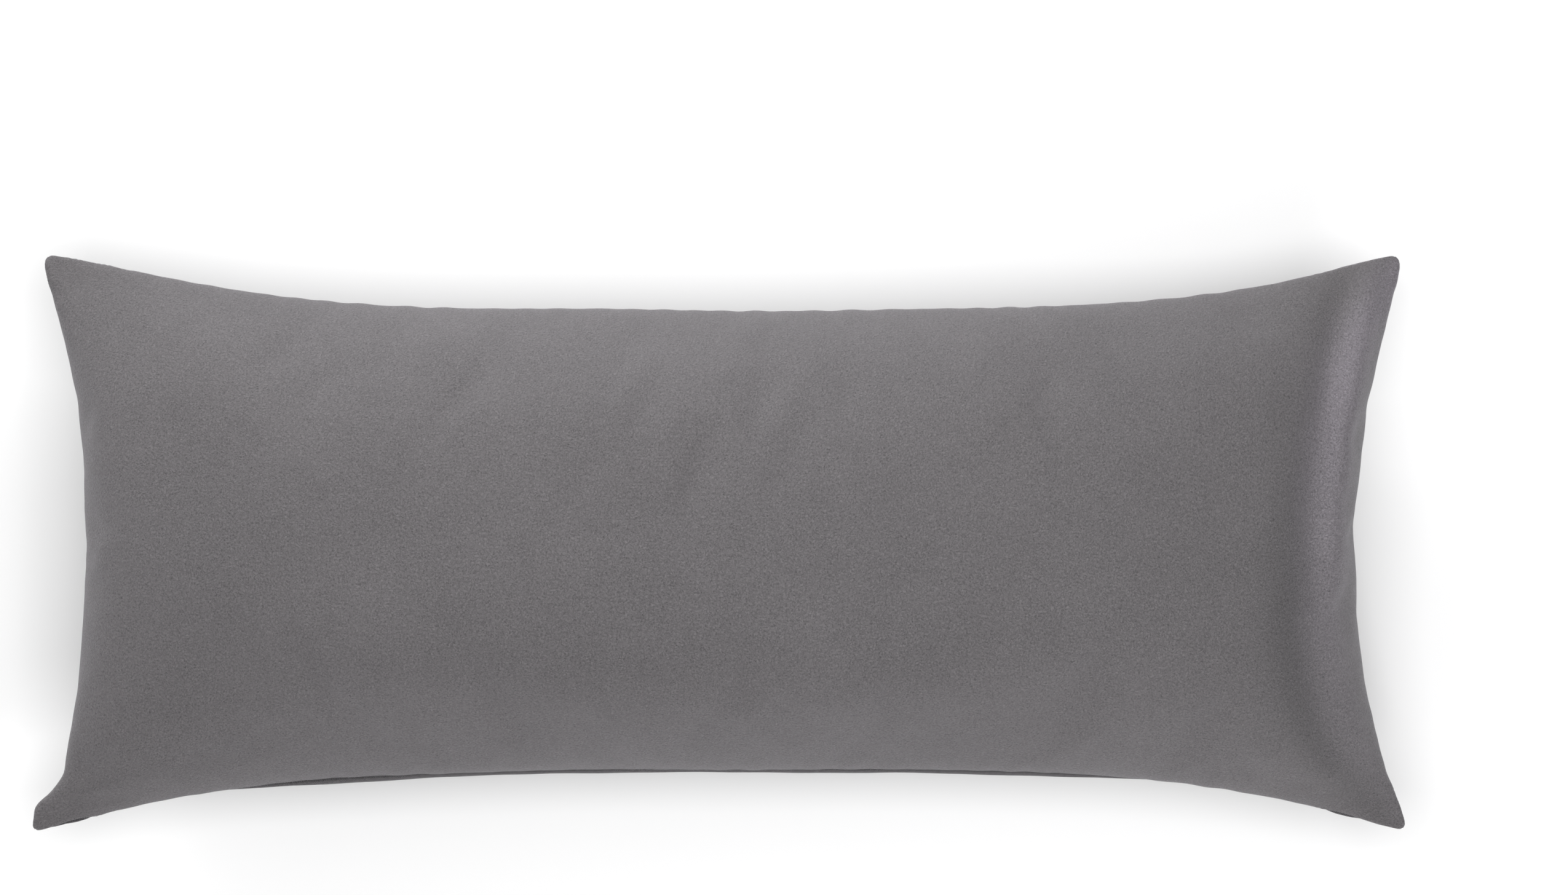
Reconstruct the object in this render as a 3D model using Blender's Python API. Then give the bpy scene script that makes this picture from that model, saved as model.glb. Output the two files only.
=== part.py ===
"""A long body pillow lying on its ribbed back, with its smooth face up.

Two panels of cloth, one smooth and one ribbed along its length, are sewn together all round and
filled. The filling crowns both panels and draws the four edges in between the pointed ears. The
pillow is one solid. X runs along it, Y across it and Z up, and the origin is under its middle, on
the surface that it lies on. Sizes are in metres.
"""

from functools import lru_cache
from typing import NamedTuple

import bmesh
import bpy
import numpy as np
from mathutils import Vector

NAME = "body_pillow"

LENGTH = 1.170  # from ear to ear
WIDTH = 0.490

# Heights above the surface that the pillow lies on
SEAM_HEIGHT = 0.102
FRONT_CROWN = 0.119  # of the smooth face above the seam
BACK_CROWN = 0.106  # of the ribbed back below the seam, before the surface flattens it
EAR_DROOP = 0.010  # of each ear's tip below the rest of the seam
EAR_FLATNESS = 0.7  # the share of the crown that is missing at an ear's tip
EAR_REACH = 0.070  # how far from the tip that can be seen

BEND_POWER = 1.5  # how much of the cloth's bend across the pillow is near its long seams
END_POWER = 3.0  # how late the crown falls toward the short seams: 2 would be an ellipse
STEEPEST = 1.9  # in radians, the steepest that the cloth may leave a seam

RIBS = 29
RIB_DEPTH = 0.005
RIB_DEPTH_UNDER = 0.0035  # where the pillow's weight presses the ribs
RIB_FULLNESS = 0.6  # under 1 gives puffy crests with narrow valleys between them
RIB_FADE = 24.0  # how close to the short edges the ribs keep their depth

COLUMNS = 28  # of faces along the pillow, closer together toward its ends
POINTS_PER_RIB = 4
SECTION_POINTS = 401  # of the curve that a bent half panel is measured on
STEEPNESS_POINTS = 120
NUDGE = 0.002  # of a panel, for reading the slope of the cloth
SEAM_TOUCH = 1e-5  # points of the two panels nearer than this are sewn into one


class Ear(NamedTuple):
    """A corner of the pillow seen from above, before its tip is rounded."""

    x: float
    y: float


class Edge(NamedTuple):
    """An edge between two ears, which bows in toward the pillow's middle."""

    bow: float  # how far it is drawn in at its deepest place
    deepest: float  # where that is, from -1 at the first ear to 1 at the second
    first: float  # how late it turns out toward the first ear
    second: float  # the same for the second ear


EAR_ROUNDING = 0.005  # how far a tip is drawn in along X and Y
EAR_RADIUS = 0.008  # how near the tip that starts
EAR_X = LENGTH / 2 + EAR_ROUNDING
EAR_Y = WIDTH / 2 + EAR_ROUNDING
BOTTOM_LEFT = Ear(-EAR_X, -EAR_Y)
BOTTOM_RIGHT = Ear(EAR_X, -EAR_Y + 0.001)
TOP_LEFT = Ear(-EAR_X + 0.009, EAR_Y)
TOP_RIGHT = Ear(EAR_X - 0.004, EAR_Y)

#              bow  deepest  first  second
BOTTOM = Edge(0.053, 0.05, 3.9, 3.8)  # from the left ear to the right ear
TOP = Edge(0.052, -0.16, 2.6, 4.5)
LEFT = Edge(0.046, -0.05, 2.9, 2.2)  # from the bottom ear to the top ear
RIGHT = Edge(0.046, 0.02, 2.3, 1.55)

#                red, green, blue
SMOOTH_COLOUR = (0.170, 0.160, 0.165)
RIBBED_COLOUR = (0.120, 0.113, 0.117)
CLOTH_ROUGHNESS = 0.9


def between(low, high, share):
    """The value at a share from -1 to 1 of the way from low to high."""
    return low + (high - low) * (share + 1) / 2


def drawn_in(edge, share):
    """How far the edge lies inside the line between its ears.

    That is the bow less a power of the distance from the deepest place, and nothing at an ear.
    """
    toward_first = share < edge.deepest
    room = 1 + edge.deepest if toward_first else 1 - edge.deepest
    power = edge.first if toward_first else edge.second
    return edge.bow * (1 - (abs(share - edge.deepest) / room) ** power)


def edges_across(s):
    """The seam's Y on the two long edges at the share s of the length."""
    low = between(BOTTOM_LEFT.y, BOTTOM_RIGHT.y, s) + drawn_in(BOTTOM, s)
    high = between(TOP_LEFT.y, TOP_RIGHT.y, s) - drawn_in(TOP, s)
    return low, high


def edges_along(t):
    """The seam's X on the two short edges at the share t of the width."""
    low = between(BOTTOM_LEFT.x, TOP_LEFT.x, t) + drawn_in(LEFT, t)
    high = between(BOTTOM_RIGHT.x, TOP_RIGHT.x, t) - drawn_in(RIGHT, t)
    return low, high


@lru_cache(maxsize=None)
def bent_half(steepness):
    """Half a panel's section, from its level middle to its seam: how far across and how far down
    each share of its cloth lies, for cloth of unit length.

    Its slope is the steepness at the seam times a power of the share. Shares are of the cloth's
    length, so ribs at even shares are as wide as each other.
    """
    share = np.linspace(0, 1, SECTION_POINTS)
    slope = steepness * share**BEND_POWER
    step = np.diff(share, prepend=0)
    return share, np.cumsum(np.cos(slope) * step), np.cumsum(np.sin(slope) * step)


@lru_cache(maxsize=None)
def steepness_for(crown_ratio):
    """The steepness at which a section is crown_ratio times as high as half its width."""
    tries = np.linspace(0, STEEPEST, STEEPNESS_POINTS)
    ratios = [bent_half(steepness)[2][-1] / bent_half(steepness)[1][-1] for steepness in tries]
    return float(np.interp(crown_ratio, ratios, tries))


def cloth_point(s, v, crown):
    """A point of a panel without its ribs: s is a share of the pillow's length, and v a share of
    the cloth's width, each from -1 to 1. A crown over 0 gives the face, and under 0 the back."""
    low, high = edges_across(s)
    half_width = (high - low) / 2
    crown_here = abs(crown) * (1 - abs(s) ** END_POWER) ** (1 / END_POWER)
    shares, across, down = bent_half(steepness_for(crown_here / half_width))
    scale = half_width / across[-1]
    t = np.sign(v) * np.interp(abs(v), shares, across) / across[-1]
    height = crown_here - np.interp(abs(v), shares, down) * scale
    from_ear = float(np.hypot((1 - abs(s)) * LENGTH / 2, (1 - abs(t)) * WIDTH / 2))
    height *= 1 - EAR_FLATNESS * np.exp(-from_ear / EAR_REACH)
    droop = EAR_DROOP * np.exp(-from_ear / EAR_REACH)
    rounding = EAR_ROUNDING * np.exp(-from_ear / EAR_RADIUS)
    x = between(*edges_along(t), s) - np.sign(s) * rounding
    y = between(low, high, t) - np.sign(t) * rounding
    return Vector((x, y, SEAM_HEIGHT - droop + np.sign(crown) * height))


def face_point(s, v):
    return cloth_point(s, v, FRONT_CROWN)


def back_point(s, v):
    """A point of the ribbed back. Each rib stands out from the cloth by a power of a sine, fades
    at the short edges, and is flat where it meets the surface under the pillow."""
    before, after = max(s - NUDGE, -1), min(s + NUDGE, 1)
    lower, upper = max(v - NUDGE, -1), min(v + NUDGE, 1)
    point = cloth_point(s, v, -BACK_CROWN)
    along = cloth_point(after, v, -BACK_CROWN) - cloth_point(before, v, -BACK_CROWN)
    across = cloth_point(s, upper, -BACK_CROWN) - cloth_point(s, lower, -BACK_CROWN)
    outward = across.cross(along).normalized()
    crest = abs(np.sin(np.pi * RIBS * (v + 1) / 2)) ** RIB_FULLNESS
    point.z = max(point.z, RIB_DEPTH_UNDER)
    point += outward * RIB_DEPTH * crest * (1 - abs(s) ** RIB_FADE) ** 0.5
    point.z = max(point.z, 0)
    return point


def panel(rows, end_cuts, shape, material_index):
    """A flat grid of cloth from -1 to 1 each way, whose points go where shape puts them.

    end_cuts is how many more points its short edges get between two rows.
    """
    cloth = bmesh.new()
    bmesh.ops.create_grid(cloth, x_segments=COLUMNS, y_segments=rows, size=1.0)
    ends = [e for e in cloth.edges if e.is_boundary and e.verts[0].co.x == e.verts[1].co.x]
    if end_cuts:
        bmesh.ops.subdivide_edges(cloth, edges=ends, cuts=end_cuts)
    for vert in cloth.verts:
        # An even turn puts the columns closer together toward the ends.
        s = float(np.sin(vert.co.x * np.pi / 2))
        vert.co = shape(s, vert.co.y)
    for face in cloth.faces:
        face.material_index = material_index
        face.smooth = True
    data = bpy.data.meshes.new("panel")
    cloth.to_mesh(data)
    cloth.free()
    return data


def cloth_material(name, colour):
    material = bpy.data.materials.new(name)
    material.use_nodes = True
    shader = material.node_tree.nodes["Principled BSDF"]
    shader.inputs["Base Color"].default_value = (*colour, 1)
    shader.inputs["Roughness"].default_value = CLOTH_ROUGHNESS
    material.diffuse_color = (*colour, 1)
    return material


def make_pillow(collection):
    """Both panels, sewn together where their edges meet."""
    sewn = bmesh.new()
    sewn.from_mesh(panel(RIBS, POINTS_PER_RIB - 1, face_point, 0))
    sewn.from_mesh(panel(RIBS * POINTS_PER_RIB, 0, back_point, 1))
    bmesh.ops.remove_doubles(sewn, verts=sewn.verts, dist=SEAM_TOUCH)
    bmesh.ops.recalc_face_normals(sewn, faces=sewn.faces)
    data = bpy.data.meshes.new(NAME)
    sewn.to_mesh(data)
    sewn.free()
    data.materials.append(cloth_material("smooth_plush", SMOOTH_COLOUR))
    data.materials.append(cloth_material("ribbed_plush", RIBBED_COLOUR))
    collection.objects.link(bpy.data.objects.new(NAME, data))


for old in list(bpy.data.objects):
    bpy.data.objects.remove(old)
pillow = bpy.data.collections.new("body_pillow_parts")
bpy.context.scene.collection.children.link(pillow)
make_pillow(pillow)
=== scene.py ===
"""The looks of a long plush body pillow that lies on its ribbed back, with its smooth face up.

X runs along the pillow, Y across it and Z up out of its face. Sizes are in metres and angles in
radians. A share runs from -1 to 1: from the left ears to the right ones, or from the bottom ears
to the top ones, as they are seen from above.
"""

import bpy
import numpy as np
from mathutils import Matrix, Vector


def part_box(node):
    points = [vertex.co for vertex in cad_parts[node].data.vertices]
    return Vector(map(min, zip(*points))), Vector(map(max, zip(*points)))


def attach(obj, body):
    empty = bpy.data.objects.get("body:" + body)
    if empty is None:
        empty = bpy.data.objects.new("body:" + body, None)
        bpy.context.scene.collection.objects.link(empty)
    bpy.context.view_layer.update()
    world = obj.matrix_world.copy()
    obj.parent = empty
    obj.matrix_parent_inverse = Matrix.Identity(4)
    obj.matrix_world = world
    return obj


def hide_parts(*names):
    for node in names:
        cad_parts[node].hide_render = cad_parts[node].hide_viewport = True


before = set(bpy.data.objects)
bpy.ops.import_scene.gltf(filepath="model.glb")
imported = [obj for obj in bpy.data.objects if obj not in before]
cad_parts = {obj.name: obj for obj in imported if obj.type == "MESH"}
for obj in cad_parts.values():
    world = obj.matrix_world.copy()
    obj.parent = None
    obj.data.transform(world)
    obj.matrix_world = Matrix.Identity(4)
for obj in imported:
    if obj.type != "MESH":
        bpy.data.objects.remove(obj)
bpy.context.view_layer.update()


# ---- The seam ----
# Two panels of plush, cut 48 by 20 inches, are sewn together all round with the allowance turned
# inside. The filling pulls the four edges of the cover in between its corners, which stay out as
# pointed ears. The bottom left ear has been pulled out like a foot.

CUT_LENGTH = 1.219
CUT_WIDTH = 0.508
PILE = 0.002  # how far the plush stands out beside the seam

lowest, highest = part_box("body_pillow")
EAR_SOFTNESS = 0.006  # how far the tip of an ear is rounded off
EAR_TIP = 0.0055  # how near the tip that starts
HALF_LENGTH = (highest.x - lowest.x) / 2 + EAR_SOFTNESS - PILE
HALF_WIDTH = (highest.y - lowest.y) / 2 + EAR_SOFTNESS - PILE

#                  x                      y
EAR_BOTTOM_LEFT = (-HALF_LENGTH + 0.0036, -HALF_WIDTH)
EAR_BOTTOM_RIGHT = (HALF_LENGTH + 0.001, -HALF_WIDTH + 0.001)
EAR_TOP_LEFT = (-HALF_LENGTH + 0.0105, HALF_WIDTH)
EAR_TOP_RIGHT = (HALF_LENGTH - 0.005, HALF_WIDTH)

# How far an edge is drawn in, the share where that is deepest, and how late it turns out toward
# its first ear and its second ear
BOTTOM_EDGE = (0.0576, 0.16, 4.2, 3.1)
TOP_EDGE = (0.0529, -0.105, 2.9, 4.45)
LEFT_EDGE = (0.0454, 0.0, 3.4, 1.93)
RIGHT_EDGE = (0.0474, 0.02, 2.65, 1.46)

# Where on the left edge the foot's heel, ball and toe are, how long they are, and how far in they
# lie. The right edge has a pad of filling at its bottom ear instead, and that lies out.
FOOT_HEEL = (-0.79, 0.063, 0.0030)
FOOT_BALL = (-0.905, 0.035, -0.0045)
FOOT_TOE = (-0.955, 0.105, -0.0056)
EAR_PAD = (-0.88, 0.09, 0.0021)


def between(low, high, share):
    """The value at a share from -1 to 1 of the way from low to high."""
    return low + (high - low) * (share + 1) / 2


def hump(share, place, width):
    """A smooth hump: 1 at its place, and the exponential of minus the squared distance in widths."""
    return np.exp(-(((share - place) / width) ** 2))


def smooth_step(low, high, value):
    """0 below low and 1 above high, with a smooth S of the third power between them."""
    part = np.clip((value - low) / (high - low), 0, 1)
    return part * part * (3 - 2 * part)


def drawn_in(edge, share):
    """How far an edge lies inside the straight line between its ears: its depth less a power of
    the distance from its deepest place, which leaves nothing at the ears."""
    depth, deepest, first, second = edge
    toward_first = share < deepest
    room = np.where(toward_first, 1 + deepest, 1 - deepest)
    power = np.where(toward_first, first, second)
    return depth * (1 - (np.abs(share - deepest) / room) ** power)


def long_edges(s):
    """Y on the bottom edge and on the top edge at the shares s of the length."""
    low = between(EAR_BOTTOM_LEFT[1], EAR_BOTTOM_RIGHT[1], s) + drawn_in(BOTTOM_EDGE, s)
    high = between(EAR_TOP_LEFT[1], EAR_TOP_RIGHT[1], s) - drawn_in(TOP_EDGE, s)
    return low, high


def short_edges(t):
    """X on the left edge and on the right edge at the shares t of the width."""
    low = between(EAR_BOTTOM_LEFT[0], EAR_TOP_LEFT[0], t) + drawn_in(LEFT_EDGE, t)
    for place, width, inward in (FOOT_HEEL, FOOT_BALL, FOOT_TOE):
        low = low + inward * hump(t, place, width)
    high = between(EAR_BOTTOM_RIGHT[0], EAR_TOP_RIGHT[0], t) - drawn_in(RIGHT_EDGE, t)
    place, width, out = EAR_PAD
    return low, high + out * hump(t, place, width)


# ---- The filling ----
# Loose polyester fibre fills the cover tight. It crowns the face more than the back, which the
# pillow's own weight presses flat, and it thins out to nothing in the four ears.

SEAM_HEIGHT = 0.102
CROWNS = {1: 0.119, -1: 0.106}  # of the face above the seam, and of the back below it
BEND_POWER = 1.5  # how much of the bend across the pillow is near its long seams
UPRIGHT_REACH = 0.05  # the last share of a half panel, which turns upright to meet the other one
END_POWER = 3.0  # how late the crown falls toward the short seams
EAR_DROOP = 0.010  # of each ear's tip below the rest of the seam
EAR_FLATNESS = 0.7  # the share of the crown that is missing at an ear's tip
EAR_REACH = 0.070  # how far from the tip that can be seen

# A soft fold runs down the face from the top right ear, beside the right edge: how far from the
# edge its crest and its hollow are, how wide, and how high
FOLD_CREST = (0.025, 0.017, 0.0115)
FOLD_HOLLOW = (0.051, 0.018, -0.0075)
FOLD_ROOT = 0.006  # how near the edge it dies away
FOLD_END = (-0.70, 0.20)  # the shares of the width over which it rises from the bottom ear
FOLD_TOP = 8  # how late it falls toward the tip of the top ear

STEEPNESSES = np.linspace(0.0001, 1.57, 96)  # from a section that is all but flat to an upright one
SHARES = np.linspace(0, 1, 401)  # of half a panel, from its middle to its seam


def bent_half(steepness, upright):
    """Half a panel's section, from its level middle to its seam: how far across and how far down
    each share of its cloth lies, for cloth of unit length. Each row is for one steepness.

    The slope is the steepness times a power of the share. Toward the seam it gains the rest of a
    right angle, times upright and an exponential of the share that is left.
    """
    turn = (np.pi / 2 - steepness) * upright
    slope = np.outer(steepness, SHARES**BEND_POWER)
    slope += np.outer(turn, np.exp(-(1 - SHARES) / UPRIGHT_REACH))
    step = np.diff(SHARES, prepend=0)
    return np.cumsum(np.cos(slope) * step, axis=1), np.cumsum(np.sin(slope) * step, axis=1)


across, down = bent_half(STEEPNESSES, np.zeros_like(STEEPNESSES))
CROWN_RATIOS = down[:, -1] / across[:, -1]
STATIONS = 601  # the sections that the filling's shape is worked out at


def length_share(w):
    """The shares of the pillow's length at the stations w from -1 to 1. They lie closer together
    toward the ends, by the same power as the crown falls there: what is left to the end is the
    power of the stations that are left."""
    return np.sign(w) * (1 - (1 - np.abs(w)) ** END_POWER)


def fullness(s):
    """The crown at the shares s of the length, as a share of the crown at mid-length."""
    return np.maximum(1 - np.abs(s) ** END_POWER, 0) ** (1 / END_POWER)


def sections(side):
    """Tables of the filling's sections, a row for each station. One gives the share t of the way
    from the middle to the seam, and one the share of the crown, at each of SHARES.

    A section is as wide as the seam is there and as high as the crown, which gives its steepness.
    It turns upright at the seam by the square of the fullness.
    """
    s = length_share(np.linspace(-1, 1, STATIONS))
    low, high = long_edges(s)
    ratio = 2 * CROWNS[side] * fullness(s) / (high - low)
    across, down = bent_half(np.interp(ratio, CROWN_RATIOS, STEEPNESSES), fullness(s) ** 2)
    return across / across[:, -1:], 1 - down / down[:, -1:]


SECTIONS = {side: sections(side) for side in CROWNS}


def read_table(table, row, column):
    """A table read in straight lines between its points, at shares from 0 to 1 of its rows and of
    its columns."""
    row, column = row * (table.shape[0] - 1), column * (table.shape[1] - 1)
    i = np.clip(row.astype(int), 0, table.shape[0] - 2)
    j = np.clip(column.astype(int), 0, table.shape[1] - 2)
    down_part, right_part = row - i, column - j
    upper = table[i, j] + (table[i, j + 1] - table[i, j]) * right_part
    lower = table[i + 1, j] + (table[i + 1, j + 1] - table[i + 1, j]) * right_part
    return upper + (lower - upper) * down_part


def end_fold(from_right, t):
    """The height of the fold at a distance from the right edge: a hump at its crest and another at
    its hollow, which die away at the edge, at the tip of the ear and toward the bottom ear."""
    height = np.zeros(from_right.shape)
    for place, width, high in (FOLD_CREST, FOLD_HOLLOW):
        height += high * hump(from_right, place, width)
    height = height * (1 - np.exp(-from_right / FOLD_ROOT))
    return height * smooth_step(*FOLD_END, t) * (1 - t**FOLD_TOP)


def on_filling(w, v, side):
    """Points on one side of the filled cover: side 1 is the face, and -1 the back.

    w holds stations along the pillow and v shares of the cloth's width. A section is half a
    panel's bend and its mirror image. It is flatter near an ear, whose tip droops and is rounded.
    """
    s = length_share(w)
    low, high = long_edges(s)
    t_table, height_table = SECTIONS[side]
    t = np.sign(v) * read_table(t_table, (w + 1) / 2, np.abs(v))
    height = CROWNS[side] * fullness(s) * read_table(height_table, (w + 1) / 2, np.abs(v))
    from_ear = np.hypot((1 - np.abs(s)) * HALF_LENGTH, (1 - np.abs(t)) * HALF_WIDTH)
    height *= 1 - EAR_FLATNESS * np.exp(-from_ear / EAR_REACH)
    if side == 1:
        height += end_fold((1 - s) * HALF_LENGTH, t)
    droop = EAR_DROOP * np.exp(-from_ear / EAR_REACH)
    softness = EAR_SOFTNESS * np.exp(-from_ear / EAR_TIP)
    left, right = short_edges(t)
    x = between(left, right, s) - np.sign(s) * softness
    y = between(low, high, t) - np.sign(t) * softness
    return np.stack((x, y, SEAM_HEIGHT - droop + side * height), axis=-1)


EVEN_POINTS = 401  # along the cloth from end to end
EVEN_LINES = 41  # that they are measured on, from the middle of the face to its seam


def even_lengths():
    """A table of the stations at even steps along the cloth, with a column for each line from its
    middle to its seam. The steps are measured along lines of the face from end to end: longest
    over the crown, and straight at the seam."""
    w, v = np.meshgrid(np.linspace(-1, 1, STATIONS), np.linspace(0, 1, EVEN_LINES), indexing="ij")
    lines = on_filling(w, v, 1)
    run = np.cumsum(np.linalg.norm(np.diff(lines, axis=0, prepend=lines[:1]), axis=-1), axis=0)
    even = np.linspace(0, 1, EVEN_POINTS)
    return np.stack([np.interp(even, one / one[-1], w[:, 0]) for one in run.T], axis=1)


EVEN_LENGTHS = even_lengths()

# How far the seam has rolled round the pillow from its widest line, toward the face where this is
# over 0 and toward the back under 0. Ribs show below the seam only along the bottom edge.
BOTTOM_ROLLS = (
    # from share, to share, over how much of a share, how far
    (-0.67, 0.57, 0.12, 0.0055),
    (-0.965, -0.915, 0.02, 0.0020),
    (0.88, 0.935, 0.02, 0.0012),
)
BOTTOM_REST = -0.006
TOP_ROLL = -0.012
END_ROLL = -0.018
ROLL_FADE = (0.82, 0.985)  # the shares between which a roll dies away toward an ear


def fade_to_ears(share):
    """1 along most of an edge and 0 at its ears, with a smooth S between them."""
    return 1 - smooth_step(*ROLL_FADE, np.abs(share))


def bottom_roll(p):
    """The roll of the bottom edge at the shares p of the cloth's length: its rest, and toward the
    face where a stretch of ribs shows."""
    roll = BOTTOM_REST * fade_to_ears(p)
    for first, last, soft, far in BOTTOM_ROLLS:
        inside = smooth_step(first - soft, first + soft, p) - smooth_step(last - soft, last + soft, p)
        roll = roll + (far - roll) * inside
    return roll


def panel_point(p, q, side):
    """Points of one panel at the shares p of its length and q of its width, as it is cut.

    They are points of the filling's two sides, moved by each seam's roll, in even proportion from
    one seam to the other. What passes the widest line lies on the other side of the filling.
    """
    bottom = side * bottom_roll(p) / (CUT_WIDTH / 2)
    top = side * TOP_ROLL * fade_to_ears(p) / (CUT_WIDTH / 2)
    end = side * END_ROLL * fade_to_ears(q) / (CUT_LENGTH / 2)
    a = p * (1 - end)
    b = between(bottom - 1, 1 - top, q)
    passed = (np.abs(a) > 1) | (np.abs(b) > 1)
    a = np.where(np.abs(a) > 1, np.sign(a) * (2 - np.abs(a)), a)
    b = np.where(np.abs(b) > 1, np.sign(b) * (2 - np.abs(b)), b)
    w = read_table(EVEN_LENGTHS, (a + 1) / 2, np.abs(b))
    same, other = on_filling(w, b, side), on_filling(w, b, -side)
    return np.where(passed[..., None], other, same)


def outward(points, side):
    """Unit normals of a panel's grid of points: the cross product of its steps both ways."""
    along, crosswise = np.gradient(points, axis=0), np.gradient(points, axis=1)
    normal = side * np.cross(along, crosswise)
    return normal / np.linalg.norm(normal, axis=-1, keepdims=True)


# ---- The sewn cover ----
# The face is short-pile plush. The back is plush with 29 ribs along the pillow, each a puffy welt
# with a narrow valley on either side. Both are sewn into one closed skin at the seam, which lies
# sunk between their piles. Every rib ends in a round lobe at the short seams.

RIBS = 29
RIB_DEPTH = 0.005
RIB_DEPTH_UNDER = 0.0035  # where the pillow's weight presses the ribs
RIB_FULLNESS = 0.6  # under 1 gives puffy crests and narrow valleys
RIB_PHASES = np.array([0, 0.08, 0.25, 0.5, 0.75, 0.92])  # where a rib has its rows of points
LOBE = 0.011  # the length over which a rib rounds off at a short seam
SEAM_PINCH = 0.5  # the share of a rib's depth that is lost at a long seam
PINCH_REACH = 0.012
UNEVENNESS = 0.03  # of the ribs' depth, for each of its waves
UNEVEN_LENGTHS = (0.05, 0.16)
EAR_HIDE = (0.03, 0.11)  # how far along and across the cloth that an ear hides its ribs
LIP = 0.004  # how far from the seam the pile stands up in full
BACK_PILE = 0.001  # how far it does on the ribbed cloth, whose ribs stand out more
COLUMNS = 280  # of faces along the pillow
ROWS = RIBS * len(RIB_PHASES)
CLOSER = 5.0  # what is added next to a seam to the points' even density of 1
CLOSER_REACH = 0.008
FINE_SHARES = 8001  # that their spacing is measured in

# The cloth's unevenness, as sums of waves: lumps in and out, and ribs that wander a little. Each has
# its wavelengths, its height, and how near the seam it dies away.
SEED = 7
WAVES = 9
LUMP_LENGTHS = (0.13, 0.40)
LUMP_HEIGHT = 0.0005
LUMP_REACH = 0.06
WANDER_LENGTHS = (0.12, 0.3)
WANDER = 0.0007
WANDER_REACH = 0.03

# The thread puckers the cloth beside the seam: how long the puckers are along it, how far from it
# they are deepest, how deep, and how near a corner they die away
PUCKERS = 7
PUCKER_LENGTHS = (0.016, 0.045)
PUCKER_REACH = 0.010
PUCKER_DEPTH = 0.00013
PUCKER_CORNER = 0.05


def closer_at_ends(count, length):
    """count + 1 shares from -1 to 1, whose density falls off from both ends as an exponential."""
    fine = np.linspace(-1, 1, FINE_SHARES)
    from_end = (1 - np.abs(fine)) * length / 2
    density = 1 + CLOSER * np.exp(-from_end / CLOSER_REACH)
    total = np.cumsum(density) - density[0]
    return np.interp(np.linspace(0, total[-1], count + 1), total, fine)


def waves(p, q, rng, lengths, count):
    """A sum of sine waves over the cloth, each in its own direction, with its own start."""
    total = np.zeros(np.broadcast(p, q).shape)
    for _ in range(count):
        heading = rng.uniform(0, np.pi)
        turns = 2 * np.pi / rng.uniform(*lengths)
        x = p * CUT_LENGTH / 2 * np.cos(heading) + q * CUT_WIDTH / 2 * np.sin(heading)
        total = total + np.sin(turns * x + rng.uniform(0, 2 * np.pi))
    return total


def from_seams(p, q):
    """How far the cloth at the shares p and q is from the nearest short seam and long seam."""
    return (1 - np.abs(p)) * CUT_LENGTH / 2, (1 - np.abs(q)) * CUT_WIDTH / 2


def rounded(distance, reach):
    """A quarter ellipse: 0 at a distance of 0, and 1 from the reach on."""
    return np.sqrt(1 - (1 - np.clip(distance / reach, 0, 1)) ** 2)


def puckered(along, from_seam, from_corner, rng):
    """The height of the puckers beside a seam: a sum of sine waves along it, times the distance
    from it in reaches and the exponential of 1 less that distance."""
    total = 0
    for _ in range(PUCKERS):
        turns = 2 * np.pi / rng.uniform(*PUCKER_LENGTHS)
        total = total + np.sin(turns * along + rng.uniform(0, 2 * np.pi))
    far = from_seam / PUCKER_REACH
    return total * PUCKER_DEPTH * far * np.exp(1 - far) * rounded(from_corner, PUCKER_CORNER)


p = closer_at_ends(COLUMNS, CUT_LENGTH)[:, None]
face_q = closer_at_ends(ROWS, CUT_WIDTH)[None, :]
rib_at = np.append((np.arange(RIBS)[:, None] + RIB_PHASES).ravel(), RIBS)
back_q = (2 * rib_at / RIBS - 1)[None, :]

# The filling settles the cover: a coarse copy is blown up by the cloth simulation with its seam
# held, and the moves of its points, less than SETTLE_LIMIT, are read back for the fine skin.
SETTLE_COLUMNS, SETTLE_ROWS = 112, 48
SETTLE_START = 0.94  # the share of its thickness that the copy starts with
SETTLE_LIMIT = 0.006
SETTLE_QUALITY = 5
SETTLE_PRESSURE = 4.0
SETTLE_FRAMES = 20
SETTLE_SLACK = -0.02  # the cloth's shrinking: under 0 it is a little too large for the filling
SEAM_HOLD = 0.04  # the reach over which the settled moves die away at the seam


def corners(number, order):
    """The corner numbers of each face of a grid, taken in order from its first corner round."""
    around = (number[:-1, :-1], number[1:, :-1], number[1:, 1:], number[:-1, 1:])
    return np.stack([around[i] for i in order], axis=-1).reshape(-1, 4)


FACE_ORDER = (0, 1, 2, 3)
BACK_ORDER = (3, 2, 1, 0)


def skin_faces(columns, rows):
    """Corner numbers of both panels' faces. The face's points are numbered first, row by row, and
    then the back's inner points, because the panels share the points of the seam."""
    face = np.arange((columns + 1) * (rows + 1)).reshape(columns + 1, rows + 1)
    back = face.copy()
    back[1:-1, 1:-1] = face.size + np.arange((columns - 1) * (rows - 1)).reshape(columns - 1, -1)
    return np.concatenate((corners(face, FACE_ORDER), corners(back, BACK_ORDER)))


def seam_points(shape):
    """Which points of a panel's grid are on its seam."""
    seam = np.ones(shape, bool)
    seam[1:-1, 1:-1] = False
    return seam


def sew(name, face, back):
    """One closed mesh from both panels' grids of points, sewn halfway between their seams."""
    face = np.where(seam_points(face.shape[:2])[..., None], (face + back) / 2, face)
    points = np.concatenate((face.reshape(-1, 3), back[1:-1, 1:-1].reshape(-1, 3)))
    columns, rows = face.shape[0] - 1, face.shape[1] - 1
    mesh = bpy.data.meshes.new(name)
    mesh.from_pydata(points, [], skin_faces(columns, rows))
    mesh.polygons.foreach_set("use_smooth", np.ones(len(mesh.polygons), bool))
    piece = bpy.data.objects.new(name, mesh)
    bpy.context.scene.collection.objects.link(piece)
    return piece


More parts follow.
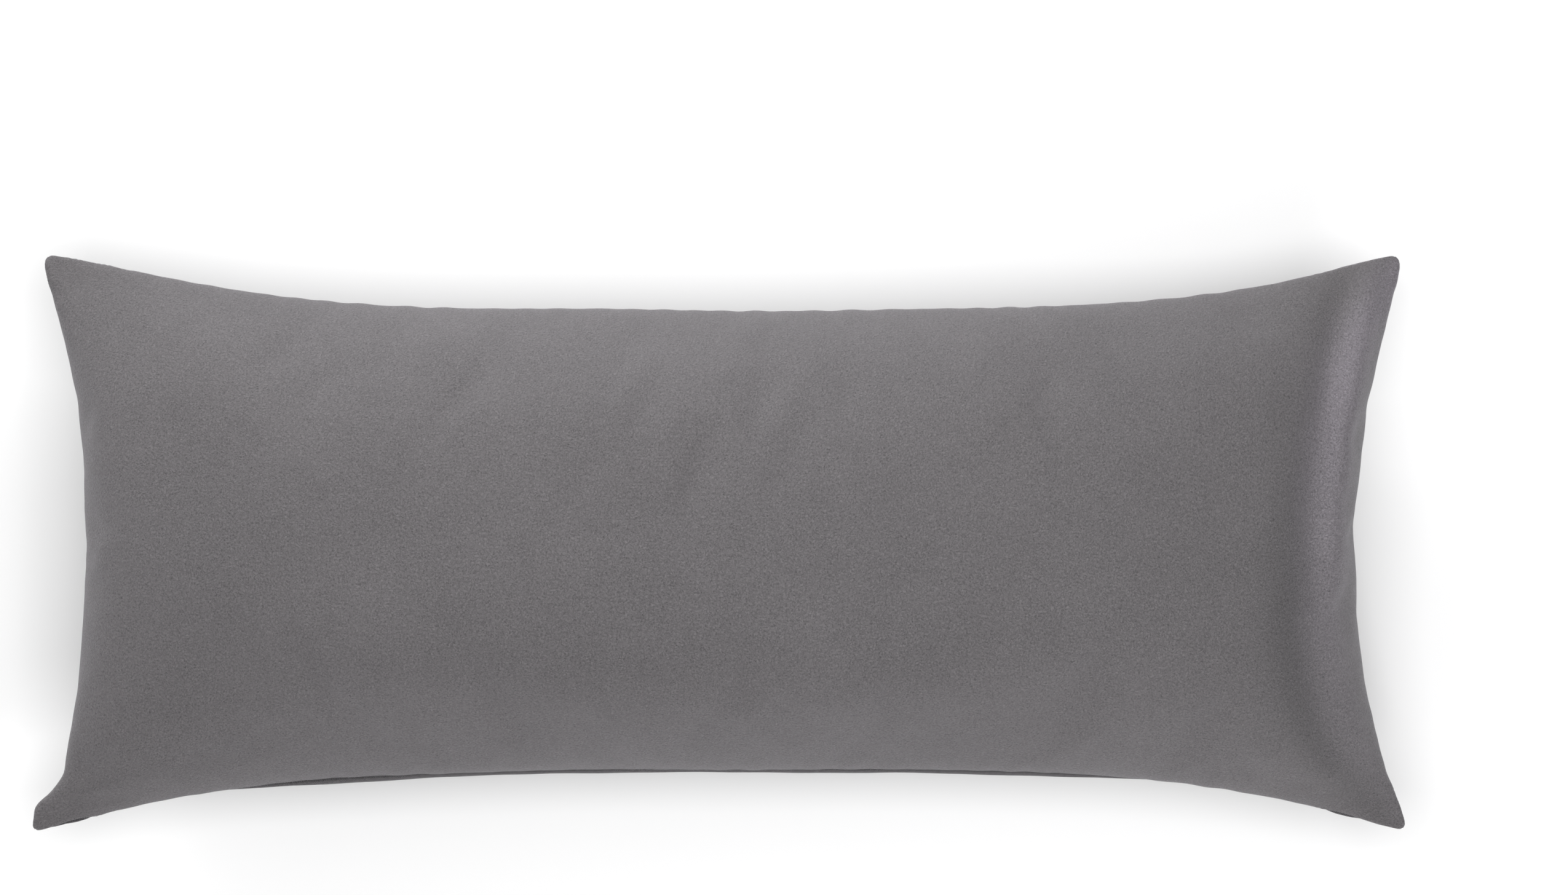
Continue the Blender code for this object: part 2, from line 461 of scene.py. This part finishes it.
def spline_weights(count, places):
    """Weights that read count even samples at places from 0 to 1 as a smooth cubic B-spline."""
    at = np.clip(places, 0, 1) * (count - 1)
    before = np.minimum(at.astype(int), count - 2)
    f = at - before
    parts = ((1 - f) ** 3, 3 * f**3 - 6 * f**2 + 4, -3 * f**3 + 3 * f**2 + 3 * f + 1, f**3)
    weights = np.zeros((len(places), count))
    for shift, part in zip((-1, 0, 1, 2), parts):
        np.add.at(weights, (np.arange(len(places)), np.clip(before + shift, 0, count - 1)), part / 6)
    return weights


def blow_up(cover, seam):
    """The points of a cover once the cloth simulation has filled it, with its seam held."""
    held = cover.vertex_groups.new(name="seam")
    held.add(np.flatnonzero(seam).tolist(), 1.0, "REPLACE")
    cloth = cover.modifiers.new("filling", "CLOTH")
    cloth.settings.quality = SETTLE_QUALITY
    cloth.settings.use_pressure = True
    cloth.settings.uniform_pressure_force = SETTLE_PRESSURE
    cloth.settings.shrink_min = SETTLE_SLACK
    cloth.settings.vertex_group_mass = "seam"
    cloth.settings.effector_weights.gravity = 0
    cloth.collision_settings.use_collision = False
    cloth.point_cache.frame_start = 1
    cloth.point_cache.frame_end = SETTLE_FRAMES
    scene = bpy.context.scene
    for number in range(1, SETTLE_FRAMES + 1):
        scene.frame_set(number)
    filled = cover.evaluated_get(bpy.context.evaluated_depsgraph_get()).data
    points = np.zeros(len(filled.vertices) * 3)
    filled.vertices.foreach_get("co", points)
    scene.frame_set(1)
    return points.reshape(-1, 3)


def settle():
    """The moves of both panels' coarse grids as the filling settles the cover. A long move is
    shortened to the hyperbolic tangent of its length, in limits."""
    coarse_p = np.linspace(-1, 1, SETTLE_COLUMNS + 1)[:, None]
    coarse_q = np.linspace(-1, 1, SETTLE_ROWS + 1)[None, :]
    coarse_p, coarse_q = np.broadcast_arrays(coarse_p, coarse_q)
    aim = {side: panel_point(coarse_p, coarse_q, side) for side in (1, -1)}
    start = {}
    for side, points in aim.items():
        start[side] = points.copy()
        start[side][..., 2] = SEAM_HEIGHT + (points[..., 2] - SEAM_HEIGHT) * SETTLE_START
    cover = sew("settling_cover", start[1], start[-1])
    points = blow_up(cover, seam_points(coarse_p.shape))
    bpy.data.objects.remove(cover)
    face = points[: coarse_p.size].reshape(*coarse_p.shape, 3)
    back = aim[-1].copy()
    back[1:-1, 1:-1] = points[coarse_p.size :].reshape(SETTLE_COLUMNS - 1, SETTLE_ROWS - 1, 3)
    moves = {1: face - aim[1], -1: back - aim[-1]}
    for move in moves.values():
        far = np.linalg.norm(move, axis=-1, keepdims=True)
        move *= np.tanh(far / SETTLE_LIMIT) / np.where(far > 0, far, 1) * SETTLE_LIMIT
    return moves


def settled_moves(moves, side, p, q):
    """The coarse moves at the shares p and q, times 1 less the exponential of minus the squared
    distance from the seam, in reaches, so that they die away there."""
    along = spline_weights(SETTLE_COLUMNS + 1, (p.ravel() + 1) / 2)
    crosswise = spline_weights(SETTLE_ROWS + 1, (q.ravel() + 1) / 2)
    fine = np.einsum("ai,bj,ijk->abk", along, crosswise, moves[side], optimize=True)
    nearest = np.minimum(*from_seams(p, q))
    return fine * (1 - np.exp(-((nearest / SEAM_HOLD) ** 2)))[..., None]


def puckers(p, q, rng):
    """The height of the puckers beside the long seams and the short ones."""
    from_end, from_edge = from_seams(p, q)
    beside_long = puckered(p * CUT_LENGTH / 2, from_edge, from_end, rng)
    return beside_long + puckered(q * CUT_WIDTH / 2, from_end, from_edge, rng)


def rib_height(p, q, rng):
    """How far the ribs stand out: a power of a sine across each, a little uneven, pinched at the
    long seams and rounded off at the short ones."""
    from_end, from_edge = from_seams(p, q)
    crest = np.abs(np.sin(np.pi * rib_at))[None, :] ** RIB_FULLNESS
    pinch = 1 - SEAM_PINCH * np.exp(-from_edge / PINCH_REACH)
    uneven = 1 + UNEVENNESS * waves(p, q, rng, UNEVEN_LENGTHS, WAVES)
    return RIB_DEPTH * crest * pinch * uneven * rounded(from_end, LOBE)


def inside_ear(p, q):
    """How much of an ear there is: 1 at a corner of the cloth, and a bell of the distance."""
    from_end, from_edge = from_seams(p, q)
    return np.exp(-((from_end / EAR_HIDE[0]) ** 2 + (from_edge / EAR_HIDE[1]) ** 2))[..., None]


moves = settle()
rng = np.random.default_rng(SEED)
skins = {}
for side, q, pile in ((1, face_q, PILE), (-1, back_q, BACK_PILE)):
    nearest = np.minimum(*from_seams(p, q))
    wander = waves(p, q, rng, WANDER_LENGTHS, WAVES) * WANDER / (CUT_WIDTH / 2)
    strayed_q = q + wander * rounded(from_seams(p, q)[1], WANDER_REACH)
    points = panel_point(*np.broadcast_arrays(p, strayed_q), side)
    if moves:
        points = points + settled_moves(moves, side, p, q)
    height = waves(p, q, rng, LUMP_LENGTHS, WAVES) * LUMP_HEIGHT * rounded(nearest, LUMP_REACH)
    height = height + pile * rounded(nearest, LIP)
    normal = outward(points, side)
    if side == 1:
        height = height + puckers(p, q, rng)
    else:
        height = height + rib_height(p, q, rng)
        points[..., 2] = np.maximum(points[..., 2], RIB_DEPTH_UNDER)
        # In an ear the ribs hang under the flat cloth, where the smooth panel hides them.
        ear = inside_ear(p, q)
        normal = normal * (1 - ear) + np.array((0, 0, -1)) * ear
    points = points + normal * height[..., None]
    points[..., 2] = np.maximum(points[..., 2], 0)
    skins[side] = points

cover = sew("pillow_cover", skins[1], skins[-1])

# Both panels lie flat beside each other on one sheet of the pattern, at one scale, so that the
# pile's grain and the ribs' courses have their real size and follow the cloth.
SHEET = 1.26  # the sheet's side
FACE_PLACE = (SHEET / 2, 0.94)  # the middle of each panel on the sheet
BACK_PLACE = (SHEET / 2, 0.32)


def flat_place(p, q, middle):
    """Where the points of a panel lie on the sheet, as shares of the sheet from 0 to 1."""
    flat = np.stack(np.broadcast_arrays(p * CUT_LENGTH / 2, q * CUT_WIDTH / 2), axis=-1)
    return ((flat + middle) / SHEET).reshape(-1, 2)


grid = np.arange((COLUMNS + 1) * (ROWS + 1)).reshape(COLUMNS + 1, ROWS + 1)
flat = np.concatenate((
    flat_place(p, face_q, FACE_PLACE)[corners(grid, FACE_ORDER).ravel()],
    flat_place(p, back_q, BACK_PLACE)[corners(grid, BACK_ORDER).ravel()],
))
cover.data.uv_layers.new(name="OFBake").data.foreach_set("uv", flat.ravel())
half = len(cover.data.polygons) // 2
cover.data.polygons.foreach_set("material_index", np.repeat([0, 1], half).astype(np.int32))

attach(cover, "root")
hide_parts("body_pillow")


# ---- The plush ----
# Both cloths are dark grey polyester with a brushed pile: a fine grain of tufts that lean this
# way and that, and cloudy marks where a hand has stroked it. The back's pile is knitted in fine
# courses across each rib, and its valleys are darkened with painted shade. Beside the face's right
# end a painted shade and a painted highlight lie in the colour.

# The pile's noises. Scales are how many to the metre.
CURLS = {"Detail": 1.2, "Roughness": 0.5, "Distortion": 1.0}
BRUSH_MARKS = {"Scale": 26.0, "Detail": 4.0, "Roughness": 0.65, "Distortion": 0.8}
CLOUDS = {"Scale": 8.0, "Detail": 2.0, "Roughness": 0.5}


def add(tree, kind, inputs=(), **settings):
    """A new node with its settings, whose inputs are values or the sockets linked to them."""
    made = tree.nodes.new(kind)
    for name, value in settings.items():
        setattr(made, name, value)
    for name, value in dict(inputs).items():
        if isinstance(value, bpy.types.NodeSocket):
            tree.links.new(value, made.inputs[name])
        else:
            made.inputs[name].default_value = value
    return made


def maths(tree, operation, *values):
    """The result of a Math node."""
    return add(tree, "ShaderNodeMath", enumerate(values), operation=operation).outputs[0]


def vectors(tree, operation, *values):
    """The result of a Vector Math node."""
    return add(tree, "ShaderNodeVectorMath", enumerate(values), operation=operation).outputs[0]


def smooth_range(tree, value, span, result):
    """A value taken with a smooth S from one span to the result's two ends."""
    return add(tree, "ShaderNodeMapRange", {
        "Value": value, "From Min": span[0], "From Max": span[1], "To Min": result[0], "To Max": result[1],
    }, interpolation_type="SMOOTHSTEP").outputs[0]


def noise(tree, place, settings):
    """A noise from 0 to 1 at a place."""
    return add(tree, "ShaderNodeTexNoise", {"Vector": place, **settings}).outputs["Fac"]


def make_brushed_pile():
    """A group that turns a place on the cloth, in metres, into the pile's shade and its height.

    The tufts are a noise about as wide as the tuft, drawn out into curls. The marks are a coarser
    noise and a cloudy one, where the pile lies the other way.
    """
    tree = bpy.data.node_groups.new("brushed_pile", "ShaderNodeTree")
    tree.interface.new_socket("Place", in_out="INPUT", socket_type="NodeSocketVector")
    for name in ("Tuft", "Grain", "Marks", "Depth"):
        tree.interface.new_socket(name, in_out="INPUT", socket_type="NodeSocketFloat")
    for name in ("Shade", "Height"):
        tree.interface.new_socket(name, in_out="OUTPUT", socket_type="NodeSocketFloat")
    given = tree.nodes.new("NodeGroupInput").outputs
    scale = maths(tree, "DIVIDE", 1.0, given["Tuft"])
    tufts = noise(tree, given["Place"], {"Scale": scale, **CURLS})
    marks = noise(tree, given["Place"], BRUSH_MARKS)
    clouds = noise(tree, given["Place"], CLOUDS)
    tufts, marks, clouds = (maths(tree, "SUBTRACT", part, 0.5) for part in (tufts, marks, clouds))
    grain = maths(tree, "MULTIPLY", tufts, given["Grain"])
    marks = maths(tree, "MULTIPLY", maths(tree, "ADD", marks, clouds), given["Marks"])
    shade = maths(tree, "ADD", maths(tree, "ADD", grain, marks), 1.0)
    result = tree.nodes.new("NodeGroupOutput").inputs
    tree.links.new(shade, result["Shade"])
    tree.links.new(maths(tree, "MULTIPLY", tufts, given["Depth"]), result["Height"])
    return tree


brushed_pile = make_brushed_pile()

#                red, green, blue
SMOOTH_COLOUR = (0.116, 0.109, 0.113)
RIBBED_COLOUR = (0.080, 0.075, 0.078)
PILE_ROUGHNESS = 0.6
PILE_GLOSS = 0.3
PILE_SHEEN = 0.17
SHEEN_SPREAD = 0.5
SHEEN_COLOUR = (0.92, 0.90, 0.97, 1)


def begin_plush(name, tuft, grain, marks, depth):
    """A plush material, its place on the sheet in metres and its brushed pile, whose tufts are
    that wide and that deep, and whose grain and marks are that strong."""
    material = bpy.data.materials.new(name)
    material.use_nodes = True
    tree = material.node_tree
    shader = tree.nodes["Principled BSDF"]
    shader.inputs["Roughness"].default_value = PILE_ROUGHNESS
    shader.inputs["Specular IOR Level"].default_value = PILE_GLOSS
    shader.inputs["Sheen Weight"].default_value = PILE_SHEEN
    shader.inputs["Sheen Roughness"].default_value = SHEEN_SPREAD
    shader.inputs["Sheen Tint"].default_value = SHEEN_COLOUR
    sheet = add(tree, "ShaderNodeUVMap", uv_map="OFBake").outputs[0]
    place = vectors(tree, "MULTIPLY", sheet, (SHEET, SHEET, SHEET))
    pile = add(tree, "ShaderNodeGroup", node_tree=brushed_pile)
    tree.links.new(place, pile.inputs["Place"])
    for socket, value in (("Tuft", tuft), ("Grain", grain), ("Marks", marks), ("Depth", depth)):
        pile.inputs[socket].default_value = value
    return material, tree, shader, place, pile


def finish_plush(tree, shader, colour, shade, height):
    """Shades the colour, and raises the pile by its height in metres."""
    shaded = add(tree, "ShaderNodeVectorMath", {"Vector": colour, "Scale": shade}, operation="SCALE")
    tree.links.new(shaded.outputs[0], shader.inputs["Base Color"])
    bump = add(tree, "ShaderNodeBump", {"Strength": 1.0, "Distance": 1.0, "Height": height})
    tree.links.new(bump.outputs[0], shader.inputs["Normal"])


# Beside the face's right end two strokes are painted into the colour: a painted shade further in,
# and a painted highlight nearer the seam, lighter and cooler, like a sheen. How far the middle of a
# stroke is from the seam at mid-width, how wide it is, the share of the width where it is
# strongest, the share over which it fades from there, and its colour
PAINTED_SHADE_STROKE = (0.136, 0.025, -0.30, 0.62, (0.079, 0.0745, 0.0772))
PAINTED_HIGHLIGHT_STROKE = (0.103, 0.027, 0.80, 1.20, (0.176, 0.162, 0.179))
STROKE_SWING = 0.125  # how much nearer to the seam both come at the ears


def bell(tree, value, place, width):
    """The exponential of minus the squared distance of a value from its place, in widths."""
    off = maths(tree, "DIVIDE", maths(tree, "SUBTRACT", value, place), width)
    return maths(tree, "EXPONENT", maths(tree, "MULTIPLY", maths(tree, "MULTIPLY", off, off), -1.0))


def painted_light_stroke(tree, x, y, place, width, strongest, reach):
    """How much of a stroke of painted shade or painted highlight there is at x and y on the sheet: a
    bell across its middle line, which swings toward the seam with the cube of the share from
    mid-width, times a bell along it."""
    from_seam = maths(tree, "SUBTRACT", FACE_PLACE[0] + CUT_LENGTH / 2, x)
    share = maths(tree, "DIVIDE", maths(tree, "SUBTRACT", y, FACE_PLACE[1]), CUT_WIDTH / 2)
    cubed = maths(tree, "POWER", maths(tree, "ABSOLUTE", share), 3.0)
    swung = maths(tree, "MULTIPLY_ADD", cubed, STROKE_SWING, from_seam)
    across = bell(tree, swung, place, width)
    along = bell(tree, share, strongest, reach)
    return maths(tree, "MULTIPLY", across, along)


def make_smooth_plush():
    """The face's plush, with its painted shade and painted highlight beside the right end."""
    material, tree, shader, place, pile = begin_plush(
        "smooth_plush", tuft=0.00135, grain=1.7, marks=0.18, depth=0.0011
    )
    x, y, _ = add(tree, "ShaderNodeSeparateXYZ", {"Vector": place}).outputs
    colour = (*SMOOTH_COLOUR, 1)
    # The first stroke mixes a painted shade into the face's colour, and the second a painted highlight.
    for *form, painted_colour in (PAINTED_SHADE_STROKE, PAINTED_HIGHLIGHT_STROKE):
        # A Mix node's inputs 6 and 7 are its colours, and so is its output 2.
        colour = add(tree, "ShaderNodeMix", {
            0: painted_light_stroke(tree, x, y, *form), 6: colour, 7: (*painted_colour, 1),
        }, data_type="RGBA").outputs[2]
    finish_plush(tree, shader, colour, pile.outputs["Shade"], pile.outputs["Height"])
    return material


RIB_PITCH = CUT_WIDTH / RIBS
COURSE = 0.0016  # from one knitted course to the next
COURSE_SLANT = 0.9  # how far a course leans, for each unit across the rib
COURSE_DEPTH = 0.00035
COURSE_SHADE = 0.22
COURSE_STRAY = 1.6 * COURSE
COURSE_STRAYS = {"Scale": 180.0, "Detail": 2.0, "Roughness": 0.5}
COURSE_END = (0.006, 0.022)  # how far from a short seam the courses start and are in full
# Painted shade: the share of the colour that is left at the bottom of a valley between the ribs
VALLEY_PAINTED_SHADE = 0.55
VALLEY_WIDTH = 0.16  # the share of a rib on either side that its shade reaches


def make_ribbed_plush():
    """The back's plush. Each rib has courses that lean away from its crest on both halves, like a
    chevron: a sine along the rib, less the slant and a noise that lets them stray."""
    material, tree, shader, place, pile = begin_plush(
        "ribbed_plush", tuft=0.0022, grain=1.3, marks=0.2, depth=0.0016
    )
    x, y, _ = add(tree, "ShaderNodeSeparateXYZ", {"Vector": place}).outputs
    from_edge = maths(tree, "SUBTRACT", y, BACK_PLACE[1] - CUT_WIDTH / 2)
    phase = maths(tree, "FRACT", maths(tree, "DIVIDE", from_edge, RIB_PITCH))
    off_crest = maths(tree, "ABSOLUTE", maths(tree, "SUBTRACT", phase, 0.5))
    lean = maths(tree, "MULTIPLY", off_crest, COURSE_SLANT * RIB_PITCH)
    stray = maths(tree, "MULTIPLY", noise(tree, place, COURSE_STRAYS), COURSE_STRAY)
    along = maths(tree, "ADD", maths(tree, "SUBTRACT", x, lean), stray)
    course = maths(tree, "SINE", maths(tree, "MULTIPLY", along, 2 * np.pi / COURSE))
    off_middle = maths(tree, "ABSOLUTE", maths(tree, "SUBTRACT", x, BACK_PLACE[0]))
    from_end = maths(tree, "SUBTRACT", CUT_LENGTH / 2, off_middle)
    inner = smooth_range(tree, from_end, COURSE_END, (0.0, 1.0))
    course = maths(tree, "MULTIPLY", course, inner)
    # Painted shade: the colour darkens toward each valley between the ribs.
    valley = smooth_range(tree, off_crest, (0.5 - VALLEY_WIDTH, 0.5), (1.0, VALLEY_PAINTED_SHADE))
    shade = maths(tree, "MULTIPLY", pile.outputs["Shade"], valley)
    shade = maths(tree, "MULTIPLY", shade, maths(tree, "MULTIPLY_ADD", course, COURSE_SHADE, 1.0))
    height = maths(tree, "MULTIPLY_ADD", course, COURSE_DEPTH, pile.outputs["Height"])
    finish_plush(tree, shader, RIBBED_COLOUR, shade, height)
    return material


cover.data.materials.append(make_smooth_plush())
cover.data.materials.append(make_ribbed_plush())


# ---- The studio ----
# The pillow lies on a plain pale floor under soft boxes, and the camera looks straight down on
# its face.

FLOOR_SIDE = 14.0
FLOOR_GAP = 0.0003  # between the floor and the flattened ribs, which would lie in one plane
FLOOR_COLOUR = (0.93, 0.93, 0.93, 1)
FLOOR_ROUGHNESS = 0.95
FLOOR_GLOSS = 0.1

bpy.ops.mesh.primitive_plane_add(size=FLOOR_SIDE, location=(0, 0, -FLOOR_GAP))
floor = bpy.context.object
floor.name = "floor"
floor_paint = bpy.data.materials.new("pale_floor")
floor_paint.use_nodes = True
floor_shader = floor_paint.node_tree.nodes["Principled BSDF"]
floor_shader.inputs["Base Color"].default_value = FLOOR_COLOUR
floor_shader.inputs["Roughness"].default_value = FLOOR_ROUGHNESS
floor_shader.inputs["Specular IOR Level"].default_value = FLOOR_GLOSS
floor.data.materials.append(floor_paint)


def soft_box(name, place, aim, size, power, colour):
    """A rectangular lamp at place that shines toward aim."""
    lamp = bpy.data.lights.new(name, "AREA")
    lamp.shape = "RECTANGLE"
    lamp.size, lamp.size_y = size
    lamp.energy = power
    lamp.color = colour
    hung = bpy.data.objects.new(name, lamp)
    hung.location = place
    hung.rotation_euler = (Vector(aim) - Vector(place)).to_track_quat("-Z", "Y").to_euler()
    bpy.context.scene.collection.objects.link(hung)


PILLOW = (0.0, 0.0, 0.1)  # its middle
WHITE = (1.0, 1.0, 1.0)
COOL = (0.95, 0.90, 1.0)

#         name           place                aim                 (width, height)  watts  colour
soft_box("overhead",    (0.0, 0.0, 3.6),     (0.0, 0.0, 0.0),    (3.0, 2.4),      74.0,  WHITE)
soft_box("back_left",   (-1.45, 2.51, 0.78), PILLOW,             (1.0, 1.0),      41.0,  WHITE)
soft_box("back",        (0.0, 2.9, 0.78),    PILLOW,             (1.0, 1.0),      6.0,   WHITE)
soft_box("left",        (-2.9, 0.0, 0.78),   PILLOW,             (1.0, 1.0),      8.0,   WHITE)
soft_box("front_right", (1.0, -2.0, 1.93),   PILLOW,             (1.2, 1.0),      30.0,  WHITE)
soft_box("right",       (1.8, 0.1, 1.8),     (0.4, 0.1, 0.14),   (0.7, 0.3),      1.5,   COOL)
soft_box("near_back",   (-0.1, 1.0, 0.6),    (-0.1, 0.15, 0.15), (0.5, 0.3),      3.0,   WHITE)

WORLD_COLOUR = (1, 1, 1, 1)
WORLD_STRENGTH = 0.36

world = bpy.data.worlds.new("studio")
bpy.context.scene.world = world
world.use_nodes = True
world.node_tree.nodes["Background"].inputs["Color"].default_value = WORLD_COLOUR
world.node_tree.nodes["Background"].inputs["Strength"].default_value = WORLD_STRENGTH

CAMERA_AIM = (0.0559, 0.0818)  # what is in the middle of the photo
CAMERA_DISTANCE = 4.0  # above the seam
VIEW_WIDTH = 1.3377  # that the photo shows at the height of the seam
SENSOR = 36.0  # in millimetres, as the lens is

bpy.context.scene.view_settings.view_transform = "Standard"

camera = bpy.data.objects.new("camera", bpy.data.cameras.new("camera"))
camera.data.sensor_width = SENSOR
camera.data.lens = SENSOR * CAMERA_DISTANCE / VIEW_WIDTH
camera.location = (*CAMERA_AIM, SEAM_HEIGHT + CAMERA_DISTANCE)
bpy.context.scene.collection.objects.link(camera)
bpy.context.scene.camera = camera
